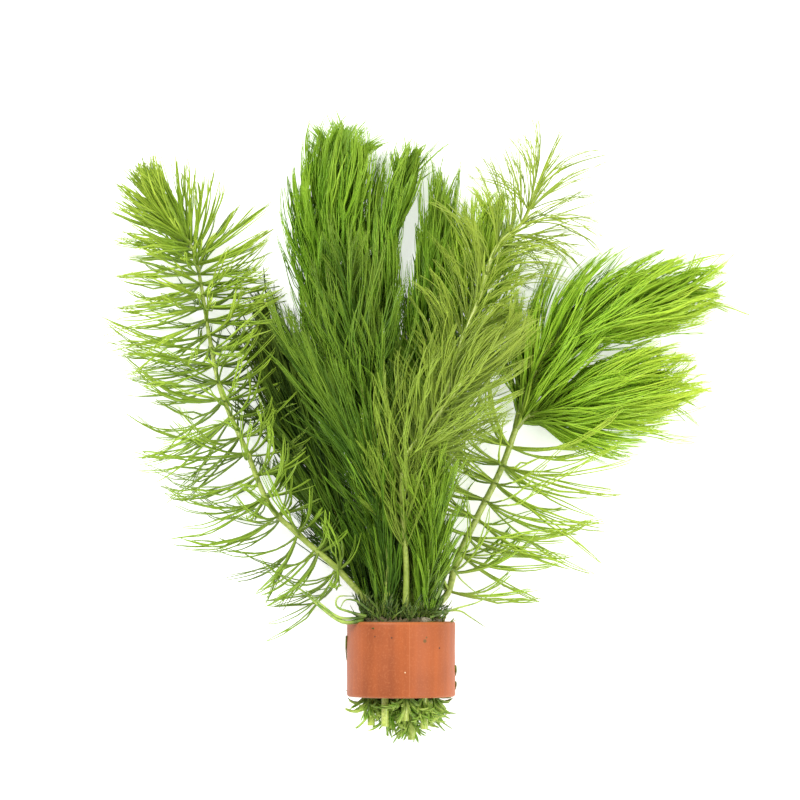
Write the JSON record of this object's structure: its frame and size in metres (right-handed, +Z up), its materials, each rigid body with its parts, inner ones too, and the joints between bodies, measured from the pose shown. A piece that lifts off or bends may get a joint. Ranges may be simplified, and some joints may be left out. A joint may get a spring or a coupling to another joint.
{
  "type": "hornwort bunch",
  "caption": "Cut bunch of feathery green waterweed lying on its side, its stems gripped by a short clay ring.",
  "frame": {"origin": "on the surface the bunch lies on, under the middle of its bounding box", "axes": "+Z up from the surface, +Y from the ring's cut end towards the leafy tips, +X to the right seen from above"},
  "size_m": [0.227, 0.2186, 0.0547],
  "materials": {
    "fired_clay": "satin",
    "foam": "matte",
    "packed_leaf": "matte",
    "stem": "satin",
    "leaf": "satin"
  },
  "bodies": {
    "root": {"clay_ring": "fired_clay", "foam_strip": "foam", "packed_leaves": "packed_leaf", "left_stem": "stem", "left_leaves": "leaf", "back_left_stem": "stem", "back_left_leaves": "leaf", "top_left_stem": "stem", "top_left_leaves": "leaf", "top_centre_stem": "stem", "top_centre_leaves": "leaf", "top_right_stem": "stem", "top_right_leaves": "leaf", "small_stem": "stem", "small_leaves": "leaf", "centre_stem": "stem", "centre_leaves": "leaf", "upper_right_stem": "stem", "upper_right_leaves": "leaf", "front_left_stem": "stem", "front_left_leaves": "leaf", "front_right_stem": "stem", "front_right_leaves": "leaf", "front_low_stem": "stem", "front_low_leaves": "leaf", "right_stem": "stem", "right_leaves": "leaf", "right_side_stem": "stem", "right_side_leaves": "leaf", "right_upper_stem": "stem", "right_upper_leaves": "leaf"}
  },
  "joints": []
}
